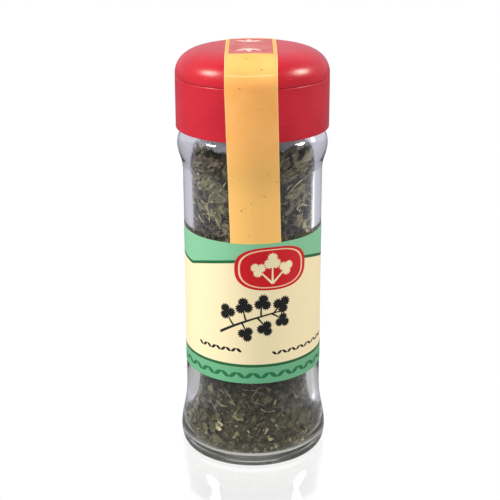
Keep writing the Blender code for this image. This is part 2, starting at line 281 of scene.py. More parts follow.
# %% Model the glass jar
RING_RADIUS = 19.4
NECK_RADIUS = 18.6
PUNT_HEIGHT = 0.95
PUNT_STEPS = 19
KNURL = 0.09
foot = curved([(RING_RADIUS, 0.0), (20.3, 0.03), (21.3, 0.45), (21.9, 1.5), (22.2, 2.9),
               (22.3, 4.4), (22.15, 6.4), (21.75, 8.8), (21.25, 11.2), (20.8, 13.8), (20.5, 16.8),
               (20.38, 21.0), (20.36, 30.0), (20.33, 37.0), (20.24, 45.0), (GLASS_RADIUS, 54.0)], 3)
shoulder = curved([(GLASS_RADIUS, 86.6), (20.32, 88.6), (20.72, 90.6), (21.3, 92.5),
                   (21.66, 94.4), (21.6, 96.0), (21.15, 97.5), (20.3, 98.9), (19.3, 100.1),
                   (18.7, 101.2), (NECK_RADIUS, 102.4)], 3)
snap_bead = curved([(NECK_RADIUS, 103.8), (19.2, 104.4), (19.6, 105.0), (19.2, 105.8),
                    (NECK_RADIUS, 106.4)], 3)
mouth = curved([(NECK_RADIUS, 110.8), (18.4, 111.4), (17.8, 111.6), (17.2, 111.4), (17.0, 110.8)], 3)
cavity = curved([(17.0, 108.6), (16.6, 104.5), (16.1, 101.0), (16.1, 98.8), (16.6, 96.6),
                 (17.25, 94.4), (CAVITY_RADIUS, 92.0)], 3)
cavity_foot = curved([(CAVITY_RADIUS, 62.0), (17.35, 42.0), (17.0, 29.0), (16.85, 22.5),
                      (16.95, 18.4), (17.3, 15.6), (18.0, 13.1), (18.95, 11.0), (19.8, 9.3),
                      (20.3, 7.8), (20.45, 6.4), (20.4, 5.2), (20.15, 4.2), (19.6, 3.4),
                      (18.6, 2.9), (16.8, 2.6), (12.0, 2.5), (6.0, 2.55), (0.0, 2.65)], 3)
punt = [(0.0, PUNT_HEIGHT)]
for k in range(1, PUNT_STEPS):
    height = PUNT_HEIGHT - 0.75 * (k / PUNT_STEPS) ** 3.0
    punt.append((RING_RADIUS * k / PUNT_STEPS, height + (KNURL if k % 2 else -KNURL)))
punt = curved(punt + [(RING_RADIUS, 0.0)], 3)
jar_outline = foot + shoulder + snap_bead + mouth + cavity + cavity_foot + punt[:-1]
jar = turned("glass_jar", jar_outline, 144, 60.0)
print("glass faces", len(jar.data.polygons))

# %% [markdown]
# Glass that casts a full shadow would leave the herb dark, because lamps reach it only by
# bending. So shadow rays see a clear, slightly tinted shader in its place. Faint ripples from the
# mould keep the highlights from looking drawn with a ruler.

# %% Finish of the glass
glass = Finish("clear glass")
glass.set(Base_Color=(0.965, 0.97, 0.985, 1.0), Roughness=0.0, IOR=1.5, Transmission_Weight=1.0)
ripple = glass.noise(55.0, 1.0, stretch=(1.0, 1.0, 0.35))
glass.set(Normal=glass.bump(ripple, 0.12, 0.0006))
clear = glass.node("ShaderNodeBsdfTransparent", {}, (0.93, 0.94, 0.95, 1.0))
shadow_ray = Wire(glass, glass.tree.nodes.new("ShaderNodeLightPath").outputs["Is Shadow Ray"])
wall = glass.node("ShaderNodeMixShader", {}, shadow_ray, Wire(glass, glass.shader.outputs[0]), clear)
glass.feed(glass.output.inputs["Surface"], wall)
wear(jar, glass, "jar_body", "clear_glass", "jar")

# %% [markdown]
# The heel of a jar that has been slid along shelves is never perfectly clear. A faint film of
# fine scratches lies just under its surface, and it greys the darkest bends of the thick glass.

# %% Haze in the heel
HAZE_SHARE = 0.065
haze_line = [(19.0, 0.35), (20.2, 0.42), (21.0, 0.8), (21.5, 1.7), (21.8, 2.9), (21.9, 4.4),
             (21.8, 5.8)]
haze = turned("heel_haze", haze_line + [(r - 0.05, z + 0.02) for r, z in haze_line[::-1]], 96, 60.0)
film = Finish("scratched heel")
fade = 1.0 - film.place()[2].ramp(2.6, 5.6)
film.set(Base_Color=(0.80, 0.81, 0.74, 1.0), Roughness=0.9, Specular_IOR_Level=0.0,
         Alpha=fade * HAZE_SHARE)
wear(haze, film, "jar_body", "clear_glass")
print("haze from", haze_line[0][1], "to", haze_line[-1][1], "mm up")

# %% [markdown]
# ## The red cap
#
# The closure is moulded in two halves that meet at a hairline seam: a skirt with the sifter deck,
# and a dome that flips open on a thin web at the back. The skirt is turned in one outline with its
# deck, the plug ring that sits in the jar's mouth, the rib that snaps under the bead and the low
# collar that the dome closes on. A tiny radius on each edge of the seam catches light and makes
# the pale double line that the photograph shows.

# %% Model the skirt and its deck
SKIRT_INSIDE = 20.6
DECK_BOTTOM_Z = 111.95
DECK_TOP_Z = 113.25
skirt_outline = (
    [(0.0, DECK_TOP_Z), (0.0, DECK_BOTTOM_Z), (15.6, DECK_BOTTOM_Z), (15.6, 109.5), (15.8, 109.3),
     (16.4, 109.3), (16.6, 109.5), (16.6, DECK_BOTTOM_Z), (SKIRT_INSIDE, DECK_BOTTOM_Z),
     (SKIRT_INSIDE, 103.3), (19.25, 102.8), (19.2, 102.3), (SKIRT_INSIDE, 101.3),
     (SKIRT_INSIDE, CAP_RIM_Z + 0.1), (20.7, CAP_RIM_Z)]
    + curved([(21.75, CAP_RIM_Z), (21.93, CAP_RIM_Z + 0.06), (CAP_RADIUS + 0.04, CAP_RIM_Z + 0.25),
              (CAP_RADIUS + 0.04, CAP_RIM_Z + 0.8)], 3)
    + curved([(CAP_RADIUS, SEAM_Z - 0.5), (CAP_RADIUS - 0.04, SEAM_Z - 0.18),
              (CAP_RADIUS - 0.16, SEAM_Z - 0.02)], 3)
    + [(20.0, SEAM_Z - 0.02), (20.0, 115.7), (19.8, 115.9), (19.2, 115.9), (19.0, 115.7),
       (19.0, DECK_TOP_Z)])
skirt = turned("cap_skirt", skirt_outline, 144, 32.0)

# %% [markdown]
# The sifter has five round holes, one in the middle and four round it. A hole through a turned
# disc can't be turned with it, so each is drilled by a Boolean with a plain cylinder as the bit,
# which is applied and thrown away.


# %% Drill the sifter holes
def drill(piece, places, radius, z, depth):
    """Cut plain round holes with one Boolean each, applied."""
    for x, y in places:
        bpy.ops.object.select_all(action="DESELECT")
        bpy.ops.mesh.primitive_cylinder_add(vertices=40, radius=radius * MM, depth=depth * MM,
                                            location=(x * MM, y * MM, z * MM))
        bit = bpy.context.object
        cut = piece.modifiers.new("hole", "BOOLEAN")
        cut.operation = "DIFFERENCE"
        cut.object = bit
        pick_only(piece)
        bpy.ops.object.modifier_apply(modifier=cut.name)
        bpy.data.objects.remove(bit, do_unlink=True)


SIFTER_RING = 9.4
SIFTER_RADIUS = 3.6
DECK_MIDDLE_Z = 112.6
SIFTER_OFFSET = SIFTER_RING * math.cos(math.radians(45.0))
sifter = [(0.0, 0.0)] + [(sx * SIFTER_OFFSET, sy * SIFTER_OFFSET) for sx in (-1, 1) for sy in (-1, 1)]
drill(skirt, sifter, SIFTER_RADIUS, DECK_MIDDLE_Z, 3.0)
pick_only(skirt)
bpy.ops.object.shade_smooth_by_angle(angle=math.radians(32.0))
print("sifter holes", len(sifter))

# %% [markdown]
# The dome isn't a part of a sphere: it is nearly flat on top and turns down quickly at the side.
# Raising radius and height to powers above 2 squares a circle up in that way, so one formula gives
# the outside, and the inside is the same curve scaled by the wall's thickness.


# %% Model the dome lid
def dome_height(radius, outset=0.0):
    """Height of the dome above the seam, where the two powered shares add up to 1."""
    share = min(radius / (CAP_RADIUS + outset), 1.0)
    return (DOME_HEIGHT + outset) * (1.0 - share ** DOME_SQUARENESS) ** (1.0 / DOME_FULLNESS)


def dome_point(angle, outset=0.0):
    """Radius and height on the same curve, by an angle from the seam to the crown."""
    turn = math.radians(angle)
    radius = (CAP_RADIUS + outset) * max(math.cos(turn), 0.0) ** (2.0 / DOME_SQUARENESS)
    return radius, (DOME_HEIGHT + outset) * math.sin(turn) ** (2.0 / DOME_FULLNESS)


LID_INSIDE = 20.55
LID_WALL = 1.3
dome_out = [dome_point(angle) for angle in range(6, 90, 4)]
dome_in = [(LID_INSIDE * r / CAP_RADIUS, h * (1.0 - LID_WALL / DOME_HEIGHT)) for r, h in dome_out]
lid_outline = (
    [(LID_INSIDE, 0.14), (20.65, 0.06)]
    + curved([(CAP_RADIUS - 0.2, 0.06), (CAP_RADIUS - 0.05, 0.18), (CAP_RADIUS - 0.01, 0.42)], 3)
    + dome_out + [(0.0, DOME_HEIGHT), (0.0, DOME_HEIGHT - LID_WALL)] + dome_in[::-1])
lid = turned("dome_lid", [(r, SEAM_Z + h) for r, h in lid_outline], 144, 32.0)
print("cap faces", len(skirt.data.polygons), "and", len(lid.data.polygons))

# %% [markdown]
# The hinge is a thin web of the same plastic. It is the one place that has to bend when the lid
# opens, so its mesh is cut into rows across the seam.


# %% Model the hinge web
def bent_sheet(name, rows, thickness):
    """A closed thin sheet over a grid of outer points, walled inwards by its thickness."""
    mesh = bpy.data.meshes.new(name)
    columns = len(rows[0])
    points = [Vector(p) * MM for row in rows for p in row]
    faces = []
    for i in range(len(rows) - 1):
        for j in range(columns - 1):
            a = i * columns + j
            faces.append((a, a + 1, a + columns + 1, a + columns))
    mesh.from_pydata(points, [], faces)
    piece = bpy.data.objects.new(name, mesh)
    bpy.context.scene.collection.objects.link(piece)
    pick_only(piece)
    wall = piece.modifiers.new("wall", "SOLIDIFY")
    wall.thickness = thickness * MM
    wall.offset = -1.0
    bpy.ops.object.modifier_apply(modifier=wall.name)
    bpy.ops.object.shade_smooth_by_angle(angle=math.radians(40.0))
    return piece


def arc_row(radius, z, start, end, steps):
    """Points along a level arc; angles in degrees from the back, turning towards +X."""
    row = []
    for step in range(steps + 1):
        turn = math.radians(start + (end - start) * step / steps)
        row.append((radius * math.sin(turn), radius * math.cos(turn), z))
    return row


WEB_RADIUS = 21.62
WEB_GROOVE = 0.25
WEB_BOTTOM_Z = 113.3
WEB_HEIGHT = 2.1
WEB_HALF_ANGLE = 15.0
WEB_STEPS = 12
web_rows = []
for k in range(WEB_STEPS + 1):
    radius = WEB_RADIUS - WEB_GROOVE * math.cos(math.pi * (k / WEB_STEPS - 0.5))
    web_rows.append(arc_row(radius, WEB_BOTTOM_Z + WEB_HEIGHT * k / WEB_STEPS,
                            WEB_HALF_ANGLE, -WEB_HALF_ANGLE, WEB_STEPS))
web = bent_sheet("hinge_web", web_rows, 0.35)
print("web faces", len(web.data.polygons))

# %% [markdown]
# The plastic is red polypropylene with a satin skin. It isn't a flat red: the pigment clouds a
# little, the sheen breaks up in fine orange peel, and handling has left faint scuffs.

# %% Finish of the red plastic
red = Finish("red plastic")
cloud = red.noise(90.0, 3.0)
speck = red.noise(1400.0, 2.0)
scuff = red.noise(260.0, 4.0, 0.6, stretch=(1.0, 1.0, 5.0)).ramp(0.62, 0.78)
body_red = red.blend(cloud.ramp(0.3, 0.7), (0.48, 0.012, 0.027), (0.555, 0.018, 0.036))
red.set(Base_Color=red.blend(scuff * 0.16, body_red, (0.85, 0.45, 0.42)),
        Roughness=0.25 + 0.08 * cloud + 0.14 * scuff, IOR=1.49, Specular_IOR_Level=0.45)
red.set(Subsurface_Weight=0.08, Subsurface_Radius=(0.002, 0.0004, 0.0003), Subsurface_Scale=0.5)
red.set(Normal=red.bump(speck + cloud * 2.0, 0.10, 0.0002))
wear(skirt, red, "jar_body", "red_plastic", "cap_base")
wear(lid, red, "lid_body", "red_plastic", "flip_lid")
wear(web, red, None, "red_plastic")
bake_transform(web)

# %% [markdown]
# ## The label
#
# One sheet of paper wraps the glass, and its ends stop just short of each other at the back. The
# print is a drawing in two numbers: the distance round the jar from the front, and the height.
# The bands of green, the dark keyline and the arched cream panel follow the photograph. The
# plaque, the sprig and the borders of small leaves are plain inventions. Where the label covers
# the strip's lower end it stands a little further out.

# %% Model the label
LABEL_OUTSIDE = 20.35
LABEL_HALF_GAP = 3.2
OVER_STRIP = 1.006
label_rows = []
for z, radius in ((LABEL_TOP_Z, 20.29), (68.0, 20.29), (66.2, 20.29), (65.2, 20.29), (60.0, 20.29),
                  (54.0, 20.3), (45.0, 20.34), (37.0, 20.43), (30.0, 20.46), (LABEL_BOTTOM_Z, 20.46)):
    row = []
    for x, y, _ in arc_row(radius, z, LABEL_HALF_GAP, 360.0 - LABEL_HALF_GAP, 176):
        strip_middle = 0.9 if y < 0.0 else -0.35
        if z > 66.0 and abs(x - strip_middle) < 8.0:
            x *= OVER_STRIP
            y *= OVER_STRIP
        row.append((x, y, z))
    label_rows.append(row)
label = bent_sheet("paper_label", label_rows, 0.07)
print("label", LABEL_TOP_Z - LABEL_BOTTOM_Z, "mm high")

# %% [markdown]
# A print needs the same few marks again and again: a band between two values, a leaf, a bowed
# line and a border. Each is a mask, 1 on the mark and 0 off it, worked out from the distance round
# and the height, so its edges stay sharp however near the camera comes.


# %% Marks for a print
class Print(Finish):
    """A finish whose marks are placed by the distance round the jar and the height, in mm."""

    def __init__(self, name, radius):
        super().__init__(name)
        x, y, self.height = self.place()
        self.round = x.math("ARCTAN2", -y) * radius

    def band(self, value, low, high, edge=0.06):
        """1 between low and high, with soft edges."""
        return value.ramp(low - edge, low + edge) * (1.0 - value.ramp(high - edge, high + edge))

    def leaf(self, across, up, size, turn):
        """A parsley leaf of three round toothed leaflets, as a mask: a wavy radius."""
        u = self.round - across
        v = self.height - up
        distance = (u * u + v * v).math("SQRT")
        angle = v.math("ARCTAN2", u) - turn
        lobes = (angle * 1.5).math("COSINE").math("ABSOLUTE").math("POWER", 0.6) * 0.42
        teeth = (angle * 21.0).math("COSINE") * 0.07
        return 1.0 - (distance - (0.42 + lobes + teeth) * size).ramp(-0.07, 0.07)

    def stroke(self, start, end, sag, width):
        """A bowed line between two points, thinner towards its end."""
        dx = end[0] - start[0]
        dy = end[1] - start[1]
        length = math.hypot(dx, dy)
        u = self.round - start[0]
        v = self.height - start[1]
        share = (u * dx + v * dy) / (length * length)
        off = (v * dx - u * dy) / length - share * (1.0 - share) * (4.0 * sag)
        thick = off.math("ABSOLUTE") - (1.0 - share * 0.5) * width
        return self.band(share, 0.0, 1.0, 0.02) * (1.0 - thick.ramp(-0.06, 0.06))

    def sprigs(self, start, end, up, pitch, size, fatness):
        """A border of small pointed leaves, leaning by turns up and down."""
        cell = (self.round - start) / pitch
        u = (cell.math("FRACT") - 0.5) * pitch
        lean = cell.math("FLOORED_MODULO", 2.0).over(1.0) * 1.1 - 0.55
        v = self.height - up - u * lean
        share = u / (size * 0.5)
        half = (1.0 - share * share) * fatness
        mark = 1.0 - (v.math("ABSOLUTE") - half).ramp(-0.06, 0.06)
        return mark * self.band(self.round, start, end, 0.01) * share.math("ABSOLUTE").under(1.0)


# %% [markdown]
# The colours go on one after the other, as inks do: cream, the two greens, the plaque with its
# leaf, the dark sprig and the borders. Last come the bare cut edges of the paper, its fibres and
# the slight sheen of a coated sheet.

# %% Print the label
PALE_GREEN = (0.236, 0.570, 0.345)
BAND_GREEN = (0.150, 0.460, 0.255)
DARK_GREEN = (0.010, 0.140, 0.052)
CREAM = (0.950, 0.830, 0.535)
PLAQUE_RED = (0.620, 0.012, 0.022)
INK = (0.012, 0.012, 0.012)
ARCH_TOP_Z = 65.1
KEYLINE = 0.9
PANEL_BOTTOM_Z = 33.35
PLAQUE_MIDDLE = 5.7
PLAQUE_Z = 62.9

paper = Print("printed label paper", LABEL_OUTSIDE)
arch = ARCH_TOP_Z - 0.0066 * (paper.round - 3.5) * (paper.round - 3.5)
outer_arch = 61.1 + 0.10 * ((paper.round - 4.0).math("ABSOLUTE") - 24.6)
panel_top = arch.math("MAXIMUM", outer_arch.math("MINIMUM", 63.5))
over_panel = paper.height - panel_top
face = paper.blend(over_panel.ramp(-0.05, 0.05), CREAM, DARK_GREEN)
face = paper.blend((over_panel - KEYLINE).ramp(-0.05, 0.05), face, PALE_GREEN)
face = paper.blend(paper.band(paper.height, 32.4, PANEL_BOTTOM_Z), face, DARK_GREEN)
face = paper.blend(1.0 - paper.height.ramp(32.3, 32.45), face, BAND_GREEN)
plaque_u = (paper.round - PLAQUE_MIDDLE) / 11.0
plaque_v = (paper.height - PLAQUE_Z) / 6.5
plaque = plaque_u.math("ABSOLUTE").math("POWER", 2.6) + plaque_v.math("ABSOLUTE").math("POWER", 2.6)
face = paper.blend(1.0 - plaque.ramp(0.985, 1.015), face, PLAQUE_RED)
face = paper.blend(paper.band(plaque, 0.66, 0.76, 0.02), face, (0.92, 0.66, 0.42))
for tip, size in (((PLAQUE_MIDDLE, 65.0), 3.0), ((1.5, 62.8), 2.6), ((9.9, 62.8), 2.6)):
    direction = math.atan2(tip[1] - 59.8, tip[0] - PLAQUE_MIDDLE)
    face = paper.blend(paper.leaf(*tip, size, direction), face, CREAM)
    face = paper.blend(paper.stroke((PLAQUE_MIDDLE, 58.4), tip, 0.0, 0.34), face, CREAM)

# %% Draw the sprig, the borders and the paper
ink = paper.stroke((-9.8, 43.0), (8.2, 49.6), 1.1, 0.42)
for foot_end, across, up, size in (((-5.6, 45.6), -7.6, 49.6, 2.9), ((-2.0, 47.3), -2.6, 51.6, 3.1),
                                   ((2.4, 48.7), 2.9, 52.6, 3.0), ((6.2, 49.2), 8.6, 51.6, 3.2),
                                   ((-3.4, 46.7), -2.0, 43.0, 2.8), ((1.0, 48.3), 3.6, 44.6, 2.9),
                                   ((5.2, 49.2), 8.8, 46.6, 2.7)):
    direction = math.atan2(up - foot_end[1], across - foot_end[0])
    ink = ink.math("MAXIMUM", paper.leaf(across, up, size, direction))
    ink = ink.math("MAXIMUM", paper.stroke(foot_end, (across, up), 0.25, 0.3))
ink = ink.math("MAXIMUM", paper.sprigs(-17.7, -3.3, 37.8, 1.6, 1.7, 0.52))
ink = ink.math("MAXIMUM", paper.sprigs(5.5, 27.9, 36.7, 1.6, 1.7, 0.46))
face = paper.blend(ink, face, INK)
face = paper.blend(paper.sprigs(-28.8, 28.8, 29.8, 2.4, 2.7, 0.72) * 0.9, face, DARK_GREEN)
BARE_PAPER = (0.86, 0.84, 0.78)
x_mm, y_mm, _ = paper.place()
from_axis = (x_mm * x_mm + y_mm * y_mm).math("SQRT")
face = paper.blend(from_axis.under(20.25 + 0.17 * paper.height.under(34.0)), face, BARE_PAPER)
fibre = paper.noise(2600.0, 3.0, 0.6)
mottle = paper.noise(130.0, 3.0)
face = paper.blend(fibre.ramp(0.62, 0.80) * 0.10, face, (0.55, 0.42, 0.25))
paper.set(Base_Color=face, Roughness=0.42 + 0.16 * mottle, Specular_IOR_Level=0.4)
paper.set(Normal=paper.bump(fibre + mottle * 3.0, 0.10, 0.0001))
wear(label, paper, "jar_body", "label_paper", "label")
print("label finish nodes", len(paper.tree.nodes))

# %% [markdown]
# ## The seal strip
#
# A strip of yellow-orange paper runs from under the label, up the glass and the skirt, over the
# dome and down the back. Paper can't bend two ways at once, so it bridges the hollow below the
# cap; where the dome turns over the real strip has creased, and here the crease is only painted.
# The lid can only open once the strip is cut at the seam, so the front and top are two pieces that
# meet there. At the back the paper passes over the hinge in one piece.

# %% Model the strip
STRIP_PAPER = 0.09
STRIP_LIFT = 0.12
STRIP_COLUMNS = 16
CREST_ANGLE = 66
CROWN_ROWS = 12
LID_LIFT = 0.012
TOP_SHIFT = -0.35
LABEL_SHIFT = 0.85
CAP_FACE = CAP_RADIUS + STRIP_LIFT
FRONT_PATH = [(CAP_FACE, SEAM_Z), (CAP_FACE, 111.0), (CAP_FACE, 107.5), (CAP_FACE + 0.02, 104.0),
              (CAP_FACE + 0.04, 101.5), (CAP_FACE + 0.02, 99.8), (21.98, 98.4), (21.9, 96.8),
              (21.8, 95.0), (21.6, 93.2), (21.28, 91.2), (20.92, 89.2), (20.62, 87.2),
              (20.42, 85.0), (20.34, 82.5), (20.32, 79.0), (20.31, 75.0), (20.31, 71.0),
              (20.31, 67.5)]


def strip_row(side, shift, point):
    """One row across the strip; side is -1 at the front and 1 at the back."""
    row = []
    for column in range(STRIP_COLUMNS + 1):
        x = side * STRIP_HALF * (2.0 * column / STRIP_COLUMNS - 1.0) + shift
        row.append((x, *point(x)))
    return row


def wall_rows(side, low_shift):
    """Rows down one side of the jar, from the seam to the label."""
    rows = []
    for radius, z in FRONT_PATH:
        share = (SEAM_Z - z) / (SEAM_Z - LABEL_TOP_Z)
        shift = TOP_SHIFT + (low_shift - TOP_SHIFT) * share
        rows.append(strip_row(side, shift, lambda x: (side * math.sqrt(radius ** 2 - x * x), z)))
    return rows


def dome_rows(side):
    """Rows over half the dome, from the crown's middle to the seam."""
    rows = []
    flat = dome_point(CREST_ANGLE, STRIP_LIFT)[0]
    for step in range(CROWN_ROWS):
        share = step / CROWN_ROWS

        def on_crown(x, share=share):
            y = side * share * math.sqrt(flat * flat - x * x)
            return y, SEAM_Z + LID_LIFT + dome_height(math.hypot(x, y), STRIP_LIFT)

        rows.append(strip_row(side, TOP_SHIFT, on_crown))
    for angle in (CREST_ANGLE, 62, 58, 54, 50, 46, 42, 38, 34, 30, 27, 24, 20, 16, 12, 8, 4, 0):
        radius, height = dome_point(angle, STRIP_LIFT)
        z = SEAM_Z + LID_LIFT + height
        rows.append(strip_row(side, TOP_SHIFT, lambda x: (side * math.sqrt(radius ** 2 - x * x), z)))
    return rows


front_strip = bent_sheet("seal_strip_lower_front", wall_rows(-1, LABEL_SHIFT), STRIP_PAPER)
top_strip = bent_sheet("seal_strip_over_lid", dome_rows(-1), STRIP_PAPER)
back_strip = bent_sheet("seal_strip_back_bend", dome_rows(1)[:-1] + wall_rows(1, TOP_SHIFT),
                        STRIP_PAPER)
print("strip faces", [len(piece.data.polygons) for piece in (front_strip, top_strip, back_strip)])

# %% [markdown]
# The paper is uncoated: dull, a little stained and full of fine specks. Over the dome it carries
# a faded red block inside a thin line, with pale leaf marks in it. Its cut edges are paler. The pale
# line along the crease where it turns down is a painted highlight, and the strip on the glass is
# painted lighter, standing in for the stronger light there.

# %% Finish of the strip
CROWN_Z = SEAM_Z + 5.0
strip = Finish("strip paper")
sx, sy, sz = strip.place()
fleck = strip.noise(620.0, 2.0, 0.6).ramp(0.705, 0.73)
stain = strip.noise(110.0, 3.0)
orange = strip.blend(stain.ramp(0.35, 0.7), (0.95, 0.440, 0.118), (0.975, 0.50, 0.155))
# Below 88 mm, fading out by 104 mm, the strip is painted lighter: painted light standing in for the
# stronger light on its lower part.
orange = strip.blend(1.0 - sz.ramp(88.0, 104.0), orange, (1.0, 0.575, 0.172))
orange = strip.blend(fleck * 0.75, orange, (0.30, 0.16, 0.05))
lean = ((SEAM_Z - sz) / (SEAM_Z - LABEL_TOP_Z)).math("MAXIMUM", 0.0) * sy.under(0.0)
centre = sx - TOP_SHIFT - lean * (LABEL_SHIFT - TOP_SHIFT)
side_gap = STRIP_HALF - centre.math("ABSOLUTE")
block = side_gap.ramp(0.95, 1.05) * (1.0 - sy.math("ABSOLUTE").ramp(11.6, 11.8))
on_top = sz.over(CROWN_Z)
block = block * on_top
printed = strip.blend(strip.noise(320.0, 2.0).ramp(0.3, 0.7), (0.46, 0.120, 0.125), (0.54, 0.19, 0.19))
surface = strip.blend(block, orange, printed)
keyline = side_gap.ramp(0.42, 0.5) * (1.0 - side_gap.ramp(0.62, 0.7)) * on_top
surface = strip.blend(keyline * 0.8, surface, (0.80, 0.30, 0.22))
petals = strip.value(0.0)
for across, along, turned_by in ((-2.6, -6.6, 0.9), (-0.9, -7.4, 0.0), (0.8, -6.6, -0.9),
                                 (-2.6, 6.6, 2.2), (-0.9, 7.4, 3.1), (0.8, 6.6, 4.0)):
    u = sx - across
    v = sy - along
    along_leaf = u * math.sin(turned_by) + v * math.cos(turned_by)
    across_leaf = u * math.cos(turned_by) - v * math.sin(turned_by)
    share = along_leaf / 2.4
    leaf_edge = across_leaf.math("ABSOLUTE") - (1.0 - share * share) * 0.75
    petals = petals.math("MAXIMUM", 1.0 - leaf_edge.ramp(-0.08, 0.08))
surface = strip.blend(petals * on_top * block * 0.75, surface, (0.88, 0.68, 0.66))
# The pale line along the crease is a painted highlight on the fold.
CREASE_Z = 117.75
crease_highlight = (sz - CREASE_Z - stain * 0.5).math("ABSOLUTE")
crease_highlight = (1.0 - crease_highlight.ramp(0.06, 0.16)) * sy.under(0.0) * side_gap.ramp(0.3, 0.6)
surface = strip.blend(crease_highlight * 0.55, surface, (1.0, 0.80, 0.45))
cut_edge = 1.0 - side_gap.ramp(0.12, 0.24)
surface = strip.blend(cut_edge * 0.6, surface, (1.0, 0.74, 0.34))
strip.set(Base_Color=surface, Roughness=0.62 + 0.12 * stain, Specular_IOR_Level=0.3)
strip.set(Normal=strip.bump(strip.noise(2200.0, 3.0, 0.6) + stain * 4.0, 0.12, 0.00012))
wear(front_strip, strip, "jar_body", "strip_paper", "seal_strip_front")
wear(top_strip, strip, "lid_body", "strip_paper", "seal_strip_lid")
wear(back_strip, strip, None, "strip_paper", "seal_strip_back")
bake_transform(back_strip)

# %% [markdown]
# ## The dried parsley
#
# Cut leaf dries into small curled scraps with torn, toothed edges, among short pale stems. A few
# scraps are modelled once. Thousands of copies are then laid against the glass, most of them
# nearly flat to it, as a shaken filling settles, and each copy keeps a number that picks its
# colour. Behind them a lumpy core, painted near black as shade, stops the eye.


# %% Scraps of leaf and stem
def leaf_scrap(name, seed, corners, length, width, curl):
    """A torn scrap: a disc primitive pulled to a ragged outline, curled and given a wall."""
    dice = random.Random(seed)
    bpy.ops.object.select_all(action="DESELECT")
    bpy.ops.mesh.primitive_circle_add(vertices=corners, radius=1.0, fill_type="TRIFAN")
    piece = bpy.context.object
    piece.name = name
    skew = dice.uniform(-0.5, 0.5)
    for index, vertex in enumerate(piece.data.vertices):
        x, y, _ = vertex.co
        reach = 1.0
        if math.hypot(x, y) > 0.5:
            reach = dice.uniform(0.5, 0.85) if index % 2 else dice.uniform(0.8, 1.15)
        x = x * reach * length / 2.0
        y = y * reach * width / 2.0 + skew * x * 0.3
        fold = curl * (1.6 * y * y / width + 0.5 * x * x / length) + dice.uniform(-0.07, 0.07)
        vertex.co = (x, y, fold)
    wall = piece.modifiers.new("wall", "SOLIDIFY")
    wall.thickness = 0.06
    bpy.ops.object.modifier_apply(modifier=wall.name)
    mesh = piece.data
    bpy.data.objects.remove(piece, do_unlink=True)
    return mesh


def stem_scrap(name, length, width, bend):
    """A thin bent straw: a slim cylinder primitive, subdivided and bowed."""
    bpy.ops.object.select_all(action="DESELECT")
    bpy.ops.mesh.primitive_cylinder_add(vertices=5, radius=width / 2.0, depth=length,
                                        rotation=(0.0, math.pi / 2.0, 0.0))
    bpy.ops.object.transform_apply(location=False, rotation=True, scale=False)
    piece = bpy.context.object
    piece.name = name
    bpy.ops.object.mode_set(mode="EDIT")
    for cut in (-0.3, -0.1, 0.1, 0.3):
        bpy.ops.mesh.select_all(action="SELECT")
        bpy.ops.mesh.bisect(plane_co=(cut * length, 0.0, 0.0), plane_no=(1.0, 0.0, 0.0))
    bpy.ops.object.mode_set(mode="OBJECT")
    for vertex in piece.data.vertices:
        share = 2.0 * vertex.co.x / length
        vertex.co.y += bend * (share * share - 0.5)
        taper = 1.0 - 0.25 * share
        vertex.co.z *= taper
    mesh = piece.data
    bpy.data.objects.remove(piece, do_unlink=True)
    return mesh


scraps = [leaf_scrap("scrap_%d" % k, 11 + k, 7 + k % 4, 2.0, 1.0 + 0.14 * (k % 6), 0.5 * (k % 4) - 0.6)
          for k in range(16)]
straws = [stem_scrap("straw_%d" % k, 4.0, 0.22 + 0.05 * (k % 3), 0.6 * (k % 3) - 0.4) for k in range(6)]
print("scrap faces", [len(mesh.polygons) for mesh in scraps])

# %% [markdown]
# Each copy is bent back to the inside of the glass where it would poke through. That also presses
# it flat against the wall, as the real scraps are. Copies are added to one mesh with plain
# arithmetic, because thousands of separate objects would be slow.


# %% The room inside the glass
CAVITY_POINTS = sorted((z, r) for r, z in cavity + cavity_foot if r > 12.0)
HERB_TOP_Z = 93.2
FLOOR_Z = 2.75
STRAY_RISE = 4.6


def herb_top(turn):
    """Height of the filling against the glass, a little ragged."""
    return HERB_TOP_Z + 0.9 * math.sin(3.0 * turn + 0.6) + 0.7 * math.sin(7.0 * turn + 2.0)


def cavity_radius(z):
    """Radius of the inside of the glass at a height."""
    for (z0, r0), (z1, r1) in zip(CAVITY_POINTS, CAVITY_POINTS[1:]):
        if z <= z1:
            share = (z - z0) / (z1 - z0) if z1 > z0 else 0.0
            return r0 + (r1 - r0) * min(max(share, 0.0), 1.0)
    return CAVITY_POINTS[-1][1]


def curved_flat(points, steps):
    """A smooth line through points that may have any sign."""
    shifted = [(a + 1000.0, z) for a, z in points]
    return [(a - 1000.0, z) for a, z in curved(shifted, steps)]


print("room is", 2.0 * cavity_radius(50.0), "mm across at mid height")


